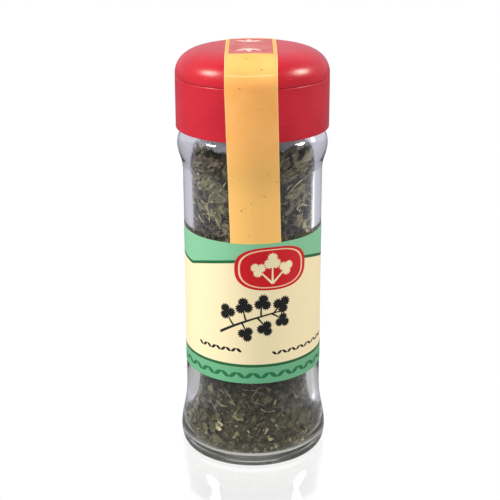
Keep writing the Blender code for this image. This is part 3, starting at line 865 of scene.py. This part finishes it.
# %% A heap of copies
class Heap:
    """Copies of small meshes gathered in one, each with its own tone and brownness."""

    def __init__(self):
        self.points = []
        self.faces = []
        self.tones = []
        self.browns = []

    def keep_in(self, point, clearance=0.06):
        point.z = min(max(point.z, FLOOR_Z), HERB_TOP_Z + STRAY_RISE)
        limit = cavity_radius(point.z) - clearance
        radius = math.hypot(point.x, point.y)
        if radius > limit:
            point.x *= limit / radius
            point.y *= limit / radius
        return point

    def add(self, mesh, pose, tone, brown=0.0):
        first = len(self.points)
        for vertex in mesh.vertices:
            self.points.append(self.keep_in(pose @ vertex.co) * MM)
            self.tones.append(tone)
            self.browns.append(brown)
        for face in mesh.polygons:
            self.faces.append(tuple(first + k for k in face.vertices))

    def ribbon(self, path, width, depth, fold, tone, brown=0.0, seed=0):
        """A folded blade along (azimuth, height) points on the wall, pointed at both ends."""
        dice = random.Random(seed)
        first = len(self.points)
        line = curved_flat(path, 5)
        side = []
        for i, (azimuth, z) in enumerate(line):
            share = i / (len(line) - 1)
            swell = math.sin(math.pi * min(max(share, 0.04), 0.96)) ** 0.5
            before = line[max(i - 1, 0)]
            after = line[min(i + 1, len(line) - 1)]
            run = Vector((math.radians(after[0] - before[0]) * CAVITY_RADIUS, after[1] - before[1]))
            across = Vector((-run.y, run.x)).normalized()
            for column in (-1.0, -0.5, 0.0, 0.5, 1.0):
                ragged = 1.0 + dice.uniform(-0.36, 0.24) * abs(column) * 1.4 / max(width, 1.4)
                off = across * (column * ragged * swell * width / 2.0)
                turn = math.radians(azimuth - 90.0) + off.x / CAVITY_RADIUS
                level = z + off.y
                radius = cavity_radius(level) - depth - fold * (1.0 - abs(column))
                side.append(Vector((radius * math.cos(turn), radius * math.sin(turn), level)))
        count = len(side)
        for inward in (0.0, 0.07):
            for point in side:
                shrink = 1.0 - inward / math.hypot(point.x, point.y)
                moved = Vector((point.x * shrink, point.y * shrink, point.z))
                self.points.append(self.keep_in(moved) * MM)
                self.tones.append(tone)
                self.browns.append(brown)
        rows = len(line)
        for i in range(rows - 1):
            for j in range(4):
                a = first + i * 5 + j
                self.faces.append((a, a + 1, a + 6, a + 5))
                self.faces.append((a + count, a + count + 5, a + count + 6, a + count + 1))
            for j in (0, 4):
                a = first + i * 5 + j
                self.faces.append((a, a + 5, a + 5 + count, a + count))
        for i in (0, rows - 1):
            for j in range(4):
                a = first + i * 5 + j
                self.faces.append((a, a + 1, a + 1 + count, a + count))

    def build(self, name):
        mesh = bpy.data.meshes.new(name)
        mesh.from_pydata(self.points, [], self.faces)
        for key, values in (("tone", self.tones), ("brown", self.browns)):
            layer = mesh.attributes.new(key, "FLOAT", "POINT")
            layer.data.foreach_set("value", values)
        piece = bpy.data.objects.new(name, mesh)
        bpy.context.scene.collection.objects.link(piece)
        pick_only(piece)
        bpy.ops.object.mode_set(mode="EDIT")
        bpy.ops.mesh.select_all(action="SELECT")
        bpy.ops.mesh.normals_make_consistent(inside=False)
        bpy.ops.object.mode_set(mode="OBJECT")
        return piece


# %% [markdown]
# The scraps go in as three sleeves, one behind the other, so that light and shade reach between
# them. Most lie against the wall, some gather at the bottom where the foot widens, and some close
# the top. They grow larger towards the top, because shaking sorts the fine crumbs downwards.


# %% Lay the scraps
def on_wall(turn, z, depth, spin, tilt, lean):
    """A pose near the glass: the scrap's flat side faces out, then spins and tilts."""
    radius = cavity_radius(z) - depth
    place = Matrix.Translation((radius * math.cos(turn), radius * math.sin(turn), z))
    outward = Matrix.Rotation(turn, 4, "Z") @ Matrix.Rotation(math.pi / 2.0, 4, "Y")
    tip = Matrix.Rotation(tilt, 4, "X") @ Matrix.Rotation(lean, 4, "Y")
    return place @ outward @ Matrix.Rotation(spin, 4, "Z") @ tip


def herb_tone(dice):
    """Mostly dark olive, with some khaki and a few pale scraps."""
    draw = dice.random()
    if draw < 0.58:
        return dice.uniform(0.04, 0.44)
    if draw < 0.84:
        return dice.uniform(0.44, 0.70)
    if draw < 0.965:
        return dice.uniform(0.68, 0.88)
    return dice.uniform(0.84, 1.0)


def scatter(name, seed, count, depth_range):
    """One sleeve of scraps, with the share that lies at the bottom and on the top."""
    dice = random.Random(seed)
    heap = Heap()
    for _ in range(count):
        share = dice.random()
        turn = dice.uniform(0.0, 2.0 * math.pi)
        z = FLOOR_Z + 0.3 + (herb_top(turn) - FLOOR_Z - 0.9) * share ** 1.25
        grow = 0.88 + 0.95 * max(0.0, (z - 25.0) / 70.0) ** 1.5
        grow = grow * dice.choice((0.55, 0.8, 1.0, 1.35, 1.7))
        pose = on_wall(turn, z, dice.uniform(*depth_range), dice.uniform(0.0, 2.0 * math.pi),
                       dice.gauss(0.0, 0.5), dice.gauss(0.0, 0.5))
        brown = max(0.0, dice.gauss(0.1, 0.35)) if z > 60.0 else max(0.0, dice.gauss(0.0, 0.3))
        slim = dice.choice((0.75, 1.0, 1.0, 1.3, 1.7))
        pose = pose @ Matrix.Diagonal((grow * slim, grow / slim, grow, 1.0))
        heap.add(dice.choice(scraps), pose, herb_tone(dice), min(brown, 1.0))
    for _ in range(count // 8):
        turn = dice.uniform(0.0, 2.0 * math.pi)
        pose = on_wall(turn, dice.uniform(3.1, 7.0), dice.uniform(0.1, 0.5), dice.uniform(0.0, 6.3),
                       dice.gauss(0.0, 0.3), dice.gauss(0.0, 0.3))
        heap.add(dice.choice(scraps), pose @ Matrix.Scale(dice.uniform(0.4, 1.1), 4), herb_tone(dice))
    for _ in range(count // 6):
        turn = dice.uniform(0.0, 2.0 * math.pi)
        reach = 16.8 * math.sqrt(dice.random())
        place = Matrix.Translation((reach * math.cos(turn), reach * math.sin(turn),
                                    HERB_TOP_Z - 1.6 + dice.gauss(0.0, 0.7)))
        tilt = Matrix.Rotation(dice.gauss(0.0, 0.4), 4, "X") @ Matrix.Rotation(turn, 4, "Z")
        heap.add(dice.choice(scraps), place @ tilt @ Matrix.Scale(dice.uniform(0.8, 2.4), 4),
                 herb_tone(dice), dice.choice((0.0, 0.3, 0.8)))
    return heap.build(name)


SLEEVE_COUNT = 2900
SLEEVE_DEPTHS = ((0.28, 0.8), (0.6, 1.4), (1.1, 2.2))
flakes = [scatter("parsley_flakes_%d" % k, 31 + k, SLEEVE_COUNT, span)
          for k, span in enumerate(SLEEVE_DEPTHS)]
print("scrap layer faces", [len(piece.data.polygons) for piece in flakes])

# %% [markdown]
# Chopped stems are thin pale straws among the leaf. They are scattered in the same way, but round
# a few favoured leanings, because long bits lie across each other and not at every angle.

# %% Scatter the stems
STEM_COUNT = 460
stem_dice = random.Random(5)
stem_heap = Heap()
for _ in range(STEM_COUNT):
    low = stem_dice.uniform(FLOOR_Z + 2.0, 70.0)
    high = stem_dice.uniform(68.0, HERB_TOP_Z - 2.0)
    z = stem_dice.choice((low, high))
    spin = stem_dice.choice((0.6, 2.4, 1.2, 2.9)) + stem_dice.gauss(0.0, 0.5)
    pose = on_wall(stem_dice.uniform(0.0, 2.0 * math.pi), z, stem_dice.uniform(0.1, 0.9), spin,
                   stem_dice.gauss(0.0, 0.3), stem_dice.gauss(0.0, 0.12))
    stem_heap.add(stem_dice.choice(straws), pose @ Matrix.Scale(stem_dice.uniform(0.4, 1.3), 4),
                  stem_dice.uniform(0.5, 0.95))
stems = stem_heap.build("parsley_stems")
print("stem faces", len(stems.data.polygons))

# %% [markdown]
# The eye goes first to the few large leaves. A random heap can't have them in the right places,
# so each is laid one by one as a folded ribbon along a short path on the wall, with its own width,
# fold and tone. The sides and the back get ribbons by chance.

# %% Lay the large leaves
blade_heap = Heap()
BLADES = (
    # path of (azimuth from the front, height), width, depth, fold, tone, brownness
    (((-64, 90.4), (-50, 91.8), (-35, 91.4)), 4.6, 0.2, 0.4, 0.40, 1.0),
    (((-60, 87.8), (-46, 89.0), (-30, 88.6)), 3.4, 0.3, 0.4, 0.26, 0.9),
    (((-37, 92.8), (-25, 93.0), (-14, 94.8)), 2.8, 0.25, 0.5, 0.24, 0.8),
    (((-58, 84.6), (-47, 85.4), (-35, 87.0)), 2.9, 0.07, 0.3, 0.77, 0.0),
    (((-42, 86.6), (-33, 84.8), (-24.0, 81.0)), 4.8, 0.1, 0.4, 0.56, 0.0),
    (((-30, 80.5), (-26, 79.0), (-20, 78.6)), 2.2, 0.12, 0.2, 0.70, 0.1),
    (((-26, 75.4), (-23, 73.6), (-19, 73.0)), 2.6, 0.1, 0.2, 0.74, 0.5),
    (((-37, 79.4), (-33, 77.6), (-30, 75.2)), 2.4, 0.12, 0.2, 0.72, 0.2),
    (((21, 88.2), (40, 91.2), (64, 94.8)), 2.5, 0.08, 0.3, 0.68, 0.1),
    (((21, 86.4), (38, 88.7), (57, 91.5)), 1.6, 0.1, 0.3, 0.66, 0.15),
    # This near-black blade is painted shade: a dark ribbon laid where a gap between leaves lies in
    # shade.
    (((24, 83.4), (34, 84.8), (46, 87.4)), 2.4, 0.4, 0.3, 0.02, 0.0),
    (((22, 93.0), (32, 93.8), (44, 95.2)), 3.4, 0.3, 0.4, 0.50, 0.6),
    (((34, 82.2), (43, 83.6), (55, 85.4)), 2.6, 0.12, 0.3, 0.64, 0.0),
    (((43, 83.6), (48, 84.8), (52, 82.6), (50, 79.8), (45, 79.4)), 1.1, 0.07, 0.2, 0.80, 0.0),
    (((30, 77.6), (36, 79.2), (43, 82.0)), 1.7, 0.1, 0.3, 0.62, 0.1),
    # These two pale slivers are partly a pale scrap and partly a painted glint of the window lamp.
    (((-35, 11.6), (-32, 10.6), (-28.5, 10.4)), 1.1, 0.06, 0.2, 0.96, 0.0),
    (((-33, 12.4), (-30.5, 12.0), (-28, 11.4)), 0.8, 0.06, 0.1, 1.0, 0.0),
    (((-36, 8.4), (-31, 7.4), (-26, 7.2)), 2.2, 0.10, 0.3, 0.56, 0.1),
    (((-37, 15.0), (-33, 13.0), (-31, 10.0)), 1.5, 0.2, 0.4, 0.62, 0.1),
    (((10, 19.4), (14, 20.8), (18, 20.0)), 2.4, 0.1, 0.3, 0.62, 0.0),
    # These four tiny pale specks are painted glints.
    (((-16, 12.2), (-15, 12.1), (-13.8, 12.2)), 0.3, 0.03, 0.0, 1.0, 0.0),
    (((-5, 11.1), (-4, 10.8), (-2.8, 10.6)), 0.35, 0.03, 0.0, 1.0, 0.0),
    (((-17.4, 9.0), (-16.2, 8.9), (-15, 9.0)), 0.3, 0.03, 0.0, 1.0, 0.0),
    (((20.8, 12.4), (21.1, 12.0), (21.3, 11.6)), 0.3, 0.03, 0.0, 1.0, 0.0),
    (((-44, 91.8), (-36, 93.2), (-27, 92.4)), 2.0, 0.12, 0.4, 0.52, 0.9),
    (((-34, 89.4), (-28, 91.4), (-23, 93.6)), 1.4, 0.1, 0.4, 0.34, 1.0),
    (((-56, 92.6), (-49, 91.8), (-41, 93.4)), 1.6, 0.12, 0.4, 0.46, 0.7),
    (((-27, 90.4), (-22, 89.4), (-18, 90.6)), 1.6, 0.12, 0.3, 0.42, 0.8),
)
for index, (path, width, depth, fold, tone_value, brown_value) in enumerate(BLADES):
    blade_heap.ribbon(path, width, depth, fold, tone_value, brown_value, index)
PALE_STEMS = (
    ((-60.5, 86.2), (-56.0, 87.2), (-52.0, 89.2)), ((-52.0, 81.0), (-48.0, 80.2), (-42.0, 77.6)),
    ((-56.0, 76.4), (-52.0, 75.0), (-47.0, 74.4)), ((-39.0, 77.4), (-34.0, 76.2), (-29.0, 73.6)),
    ((-45.0, 80.5), (-42.0, 78.0), (-41.0, 74.8)), ((32.0, 83.6), (44.0, 86.4), (59.0, 88.0)),
    ((-29.0, 23.6), (-23.0, 21.4), (-17.0, 18.2)), ((-2.0, 21.0), (4.0, 24.0), (8.0, 25.4)),
    ((-20.0, 14.6), (-17.0, 16.0), (-12.0, 18.4)), ((-36.0, 19.0), (-31.0, 17.6), (-25.0, 17.8)),
)
for index, path in enumerate(PALE_STEMS):
    blade_heap.ribbon(path, 0.45 if path[0][1] > 30.0 else 0.3, 0.05, 0.1, 0.9, 0.0, 40 + index)
SIDE_LEAVES = 150
side_dice = random.Random(8)
for index in range(SIDE_LEAVES):
    azimuth = side_dice.uniform(70.0, 290.0)
    z = side_dice.uniform(62.0, 94.0)
    reach = side_dice.uniform(4.0, 15.0)
    rise = side_dice.uniform(-3.5, 3.5)
    middle = (azimuth, z + side_dice.uniform(-1.0, 1.0))
    path = ((azimuth - reach, z - rise), middle, (azimuth + reach, z + rise))
    blade_heap.ribbon(path, side_dice.uniform(0.8, 4.0), side_dice.uniform(0.1, 0.5), 0.3,
                      herb_tone(side_dice), max(0.0, side_dice.gauss(0.2, 0.4)), 60 + index)
blades = blade_heap.build("parsley_blades")
print("large leaf faces", len(blades.data.polygons))

# %% [markdown]
# Between the scraps the eye would look right through the jar. A turned core fills the middle, and
# its points are shaken in and out a little, so that it reads as more leaf in the shade. It carries
# no tone, so the herb finish paints it near black: painted shade for the leaf deep in the heap.

# %% Model the core
core_outline = curved([(0.0, 2.9), (12.0, 2.8), (16.8, 2.95), (18.7, 3.4), (19.5, 4.4), (19.6, 6.0),
                       (19.2, 7.8), (18.0, 10.8), (16.2, 14.6), (15.3, 20.0), (15.2, 26.0)], 3)
core_outline += [(15.4, 30.0 + 5.0 * k) for k in range(12)]
core_outline += [(15.0, 88.6), (13.0, 89.4), (0.0, 89.8)]
core = turned("parsley_core", core_outline, 72, 180.0)
core_dice = random.Random(3)
for vertex in core.data.vertices:
    if vertex.co.z > 0.005:
        swell = 1.0 + core_dice.uniform(-0.035, 0.03)
        vertex.co.x *= swell
        vertex.co.y *= swell
print("core faces", len(core.data.polygons))

# %% [markdown]
# Above the filling a pale film lines the inside of the glass, with a ragged lower edge. Its pale
# lavender is a painted reflection, standing in for the bright light that the glass shows under the
# cap; its dark patches are leaf dust.

# %% Dust and painted reflection under the cap
SHEEN_FILM_SHARE = 0.80
film_line = [(cavity_radius(95.0 + 0.8 * k) - 0.5, 95.0 + 0.8 * k) for k in range(9)]
neck_film = turned("neck_dust_and_sheen", film_line + [(r - 0.04, z) for r, z in film_line[::-1]], 96, 60.0)
sheen_film = Finish("dusty neck and painted sheen")
patchy = sheen_film.noise(420.0, 3.0)
sheen_film_cover = sheen_film.place()[2] + patchy * 2.0
# The film's pale lavender is a painted reflection of bright light in the glass; its dark patches are
# leaf dust.
sheen_film.set(Base_Color=sheen_film.blend(patchy.ramp(0.60, 0.68), (0.70, 0.70, 0.76), (0.30, 0.28, 0.20)),
         Roughness=0.9, Specular_IOR_Level=0.0, Alpha=sheen_film_cover.ramp(96.0, 97.4) * SHEEN_FILM_SHARE)
wear(neck_film, sheen_film, "jar_body", "dried_leaf")
print("dust and sheen film faces", len(neck_film.data.polygons))

# %% [markdown]
# Dried leaf has no shine. Its colour runs from near black through olive grey and brown to straw,
# and fine veins and crumbs break it up. A little dust pales all of it. In the foot it is paled
# further: partly dust, partly painted light for the light that the glass carries in under the
# label. The leaf is a little darker towards the top.

# %% Finish of the herb
herb = Finish("dried leaf")
tone = Wire(herb, herb.tree.nodes.new("ShaderNodeAttribute").outputs["Fac"])
tone.socket.node.attribute_name = "tone"
vein = herb.noise(1500.0, 4.0, 0.65)
drift = herb.noise(160.0, 2.0)
shade = tone + (vein - 0.5) * 0.35 + (drift - 0.5) * 0.25
leaf_colour = herb.colours(shade, ((0.0, (0.012, 0.011, 0.007)), (0.25, (0.040, 0.038, 0.022)),
                                   (0.5, (0.076, 0.073, 0.038)), (0.72, (0.170, 0.162, 0.083)),
                                   (1.0, (0.460, 0.420, 0.260))))
brown_share = Wire(herb, herb.tree.nodes.new("ShaderNodeAttribute").outputs["Fac"])
brown_share.socket.node.attribute_name = "brown"
brown_colour = herb.colours(shade, ((0.0, (0.014, 0.010, 0.007)), (0.4, (0.090, 0.066, 0.046)),
                                    (1.0, (0.260, 0.200, 0.140))))
leaf_colour = herb.blend(brown_share, leaf_colour, brown_colour)
# Paler towards the foot: a little dust everywhere, and below 34 mm painted light for the light that the
# glass carries in under the label.
dust_and_foot_light = (1.0 - herb.place()[2].ramp(20.0, 34.0)) * 0.17 + 0.03
leaf_colour = herb.blend(herb.place()[2].ramp(50.0, 70.0) * 0.17, leaf_colour, (0.0, 0.0, 0.0))
herb.set(Base_Color=herb.blend(dust_and_foot_light, leaf_colour, (0.200, 0.190, 0.130)),
         Roughness=0.75 - 0.2 * vein, Specular_IOR_Level=0.3)
herb.set(Normal=herb.bump(vein, 0.4, 0.0002))
herb_pieces = flakes + [stems, blades, core]
for piece in herb_pieces:
    wear(piece, herb, "jar_body", "dried_leaf", "dried_parsley")
print("herb faces", sum(len(piece.data.polygons) for piece in herb_pieces))

# %% [markdown]
# ## Floor, light and camera
#
# The photograph has a plain white ground with a faint mirror image under the jar. A floor that
# shows the camera a white glow and a little mirror gives that. Clear glass shows what lies round
# it, so what the floor sends to the glass is a drawing of its own: lavender behind and at the
# sides, dark in front, a bright streak at the right and a middle grey close to the jar, which is a
# painted shadow.

# %% Floor
FLOOR_GLOW = 1.2
MIRROR_SHARE = 0.3
bpy.ops.object.select_all(action="DESELECT")
bpy.ops.mesh.primitive_plane_add(size=8.0)
floor = bpy.context.object
floor.name = "floor"
floor.location.z = -0.00005
ground = Finish("pale floor")
fx, fy, _ = ground.place()
bearing = fx.math("ARCTAN2", fy) * (180.0 / math.pi)
round_colour = ground.blend(bearing.math("ABSOLUTE").ramp(112.0, 150.0), (0.66, 0.66, 0.74),
                            (0.13, 0.13, 0.12))
streak = bearing.ramp(46.0, 50.0) * (1.0 - bearing.ramp(58.0, 62.0))
round_colour = ground.blend(streak, round_colour, (1.3, 1.3, 1.3))
# Close to the jar the glow drops to a middle grey: a painted shadow under the jar, seen through its
# base.
from_jar = (fx * fx + fy * fy).math("SQRT")
round_colour = ground.blend(1.0 - from_jar.ramp(26.0, 110.0), round_colour, (0.48, 0.48, 0.45))
light_path = ground.tree.nodes.new("ShaderNodeLightPath")
bent_ray = Wire(ground, light_path.outputs["Is Transmission Ray"])
mirrored = Wire(ground, light_path.outputs["Is Glossy Ray"]) * (1.0 - bent_ray)
round_colour = ground.blend(mirrored, round_colour, (0.20, 0.20, 0.22))
lit = ground.node("ShaderNodeEmission", {}, round_colour, 1.0)
white = ground.node("ShaderNodeEmission", {}, (1.0, 1.0, 1.0, 1.0), FLOOR_GLOW)
gloss = ground.node("ShaderNodeBsdfGlossy", {}, (1.0, 1.0, 1.0, 1.0), 0.06)
seen = ground.node("ShaderNodeMixShader", {}, MIRROR_SHARE, white, gloss)
camera_ray = Wire(ground, light_path.outputs["Is Camera Ray"])
ground.feed(ground.output.inputs["Surface"],
            ground.node("ShaderNodeMixShader", {}, camera_ray, lit, seen))
floor.data.materials.append(ground.material)
print("floor finish nodes", len(ground.tree.nodes))

# %% [markdown]
# An overcast sky, darker at the front, lights everything softly. Two small warm lamps, one at
# each side like windows, make the paired highlights on the dome and the glass. Two large lamps in
# front lift the print, and reflections leave those out.

# %% Sky and lamps
world = bpy.data.worlds.new("studio")
bpy.context.scene.world = world
world.use_nodes = True
sky = world.node_tree
backdrop = sky.nodes["Background"]
coord = sky.nodes.new("ShaderNodeTexCoord")
split = sky.nodes.new("ShaderNodeSeparateXYZ")
tint = sky.nodes.new("ShaderNodeValToRGB")
sky.links.new(coord.outputs["Generated"], split.inputs[0])
sky.links.new(split.outputs["Y"], tint.inputs[0])
sky.links.new(tint.outputs[0], backdrop.inputs[0])
tint.color_ramp.elements[0].position = 0.0
tint.color_ramp.elements[0].color = (0.15, 0.15, 0.14, 1.0)
tint.color_ramp.elements[1].position = 0.6
tint.color_ramp.elements[1].color = (0.55, 0.55, 0.61, 1.0)
backdrop.inputs[1].default_value = 1.0


def softbox(name, direction, distance, size, power, colour=(1.0, 1.0, 1.0)):
    """A round area lamp in a direction from the jar's middle, turned to face it."""
    lamp = bpy.data.lights.new(name, "AREA")
    lamp.shape = "DISK"
    lamp.size = size
    lamp.energy = power
    lamp.color = colour
    holder = bpy.data.objects.new(name, lamp)
    bpy.context.scene.collection.objects.link(holder)
    look = Vector(direction).normalized()
    holder.location = Vector((0.0, 0.0, 0.1)) + look * distance
    holder.rotation_euler = (-look).to_track_quat("-Z", "Y").to_euler()
    return holder


WARM = (1.0, 0.91, 0.78)
WINDOW_AWAY = 0.8
WINDOW_SIZE = 0.25
softbox("left window", (-0.76, -0.18, 0.61), WINDOW_AWAY, WINDOW_SIZE, 5.4, WARM)
softbox("right window", (0.82, -0.02, 0.565), WINDOW_AWAY, WINDOW_SIZE, 5.1, WARM)
for name, direction, power in (("front left", (-0.35, -0.80, 0.50), 11.0),
                               ("front right", (0.45, -0.80, 0.40), 0.8)):
    lamp = softbox(name, direction, 1.3, 0.9, power)
    lamp.visible_glossy = False
    lamp.visible_transmission = False

# %% [markdown]
# The camera stands near the jar and looks down on it by about 20 degrees. Its place and focal
# length were fitted to the ellipses of the cap and the label in the photograph.

# %% Camera
CAMERA_PLACE = (0.0, -0.32207, 0.17975)
CAMERA_YAW = -0.00252
CAMERA_PITCH = 0.35233
CAMERA_ROLL = -0.00327
FOCAL_PIXELS = 1150.25
PHOTO_PIXELS = 500.0
lens = bpy.data.cameras.new("camera")
lens.sensor_width = 36.0
lens.lens = FOCAL_PIXELS / PHOTO_PIXELS * lens.sensor_width
camera = bpy.data.objects.new("camera", lens)
bpy.context.scene.collection.objects.link(camera)
turn = Matrix.Rotation(-CAMERA_YAW, 4, "Z") @ Matrix.Rotation(math.pi / 2.0 - CAMERA_PITCH, 4, "X")
camera.matrix_world = Matrix.Translation(CAMERA_PLACE) @ turn @ Matrix.Rotation(CAMERA_ROLL, 4, "Z")
bpy.context.scene.camera = camera
bpy.context.scene.view_settings.view_transform = "Standard"
